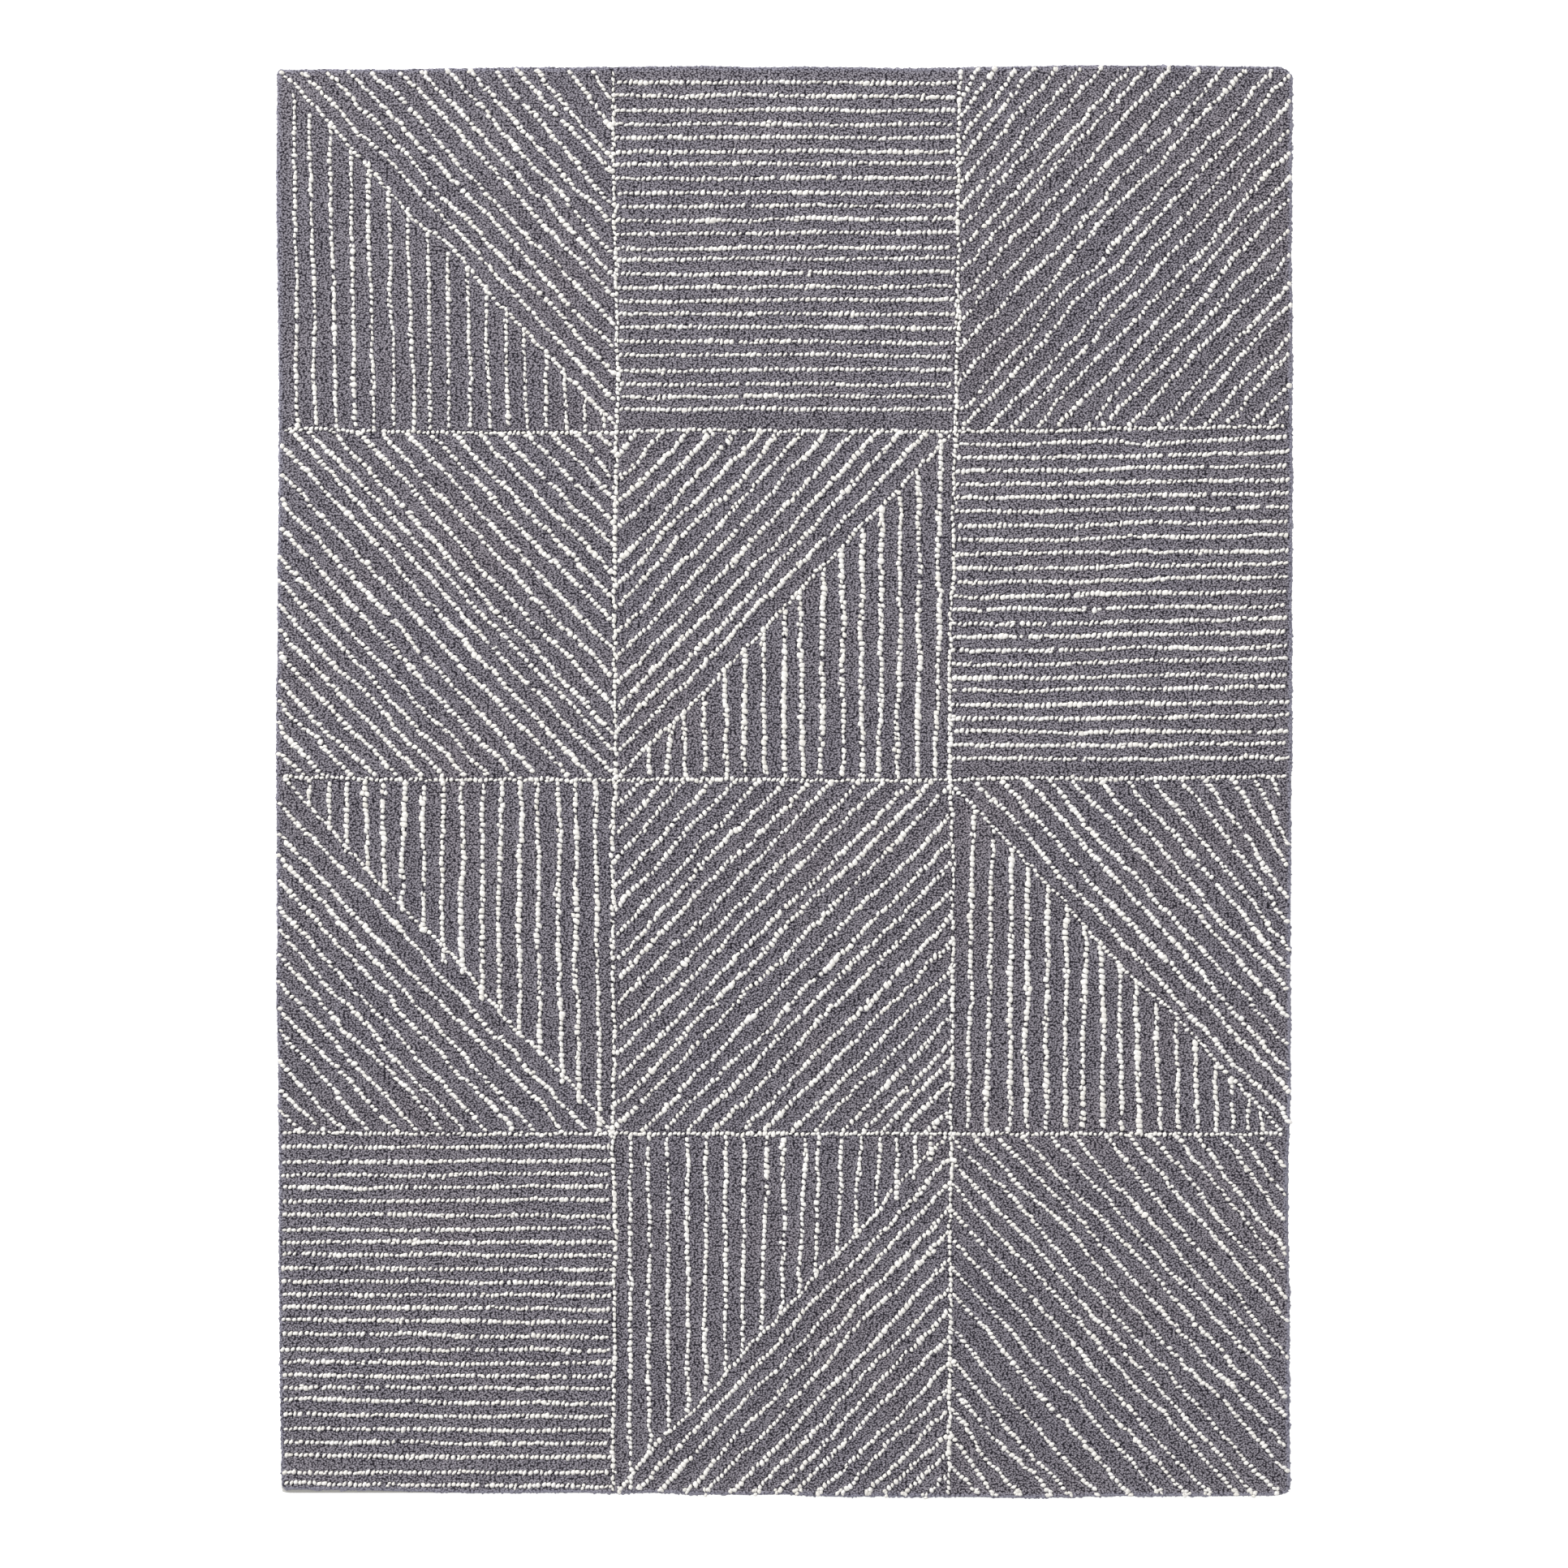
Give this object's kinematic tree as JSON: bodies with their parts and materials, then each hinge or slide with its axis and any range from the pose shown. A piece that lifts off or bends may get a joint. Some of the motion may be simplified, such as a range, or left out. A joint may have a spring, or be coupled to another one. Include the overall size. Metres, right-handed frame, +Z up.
{
  "type": "area rug",
  "caption": "Rectangular tufted rug with grey pile and raised ivory loop rows that run in different directions in a grid of panels; lies flat on its canvas back.",
  "frame": {"origin": "on the floor under the middle of the rug", "axes": "+X across the width, +Y along the length towards the head end (the end with the more rounded right corner), +Z up out of the pile"},
  "size_m": [1.7, 2.4, 0.0135],
  "materials": {
    "grey_pile": "dense matt wool pile, mottled purple-grey",
    "ivory_yarn": "matt undyed wool yarn in puffy loops",
    "primary_cloth": "plain woven cotton",
    "latex": "matt cured latex",
    "canvas": "coarse plain woven cotton canvas",
    "tape": "twill woven cotton tape",
    "label": "plain white satin weave, blank"
  },
  "bodies": {
    "root": {"pile_panel_r1c1": "grey_pile", "pile_panel_r1c2": "grey_pile", "pile_panel_r1c3": "grey_pile", "pile_panel_r2c1": "grey_pile", "pile_panel_r2c2": "grey_pile", "pile_panel_r2c3": "grey_pile", "pile_panel_r3c1": "grey_pile", "pile_panel_r3c2": "grey_pile", "pile_panel_r3c3": "grey_pile", "pile_panel_r4c1": "grey_pile", "pile_panel_r4c2": "grey_pile", "pile_panel_r4c3": "grey_pile", "loop_rows_r1c1": "ivory_yarn", "loop_rows_r1c2": "ivory_yarn", "loop_rows_r1c3": "ivory_yarn", "loop_rows_r2c1": "ivory_yarn", "loop_rows_r2c2": "ivory_yarn", "loop_rows_r2c3": "ivory_yarn", "loop_rows_r3c1": "ivory_yarn", "loop_rows_r3c2": "ivory_yarn", "loop_rows_r3c3": "ivory_yarn", "loop_rows_r4c1": "ivory_yarn", "loop_rows_r4c2": "ivory_yarn", "loop_rows_r4c3": "ivory_yarn", "loop_line_length_left": "ivory_yarn", "loop_line_length_right": "ivory_yarn", "loop_line_across_head": "ivory_yarn", "loop_line_across_middle": "ivory_yarn", "loop_line_across_foot": "ivory_yarn", "primary_cloth": "primary_cloth", "latex_layer": "latex", "backing_canvas": "canvas", "edge_tape_head": "tape", "edge_tape_foot": "tape", "edge_tape_left": "tape", "edge_tape_right": "tape", "care_label": "label"}
  },
  "joints": []
}
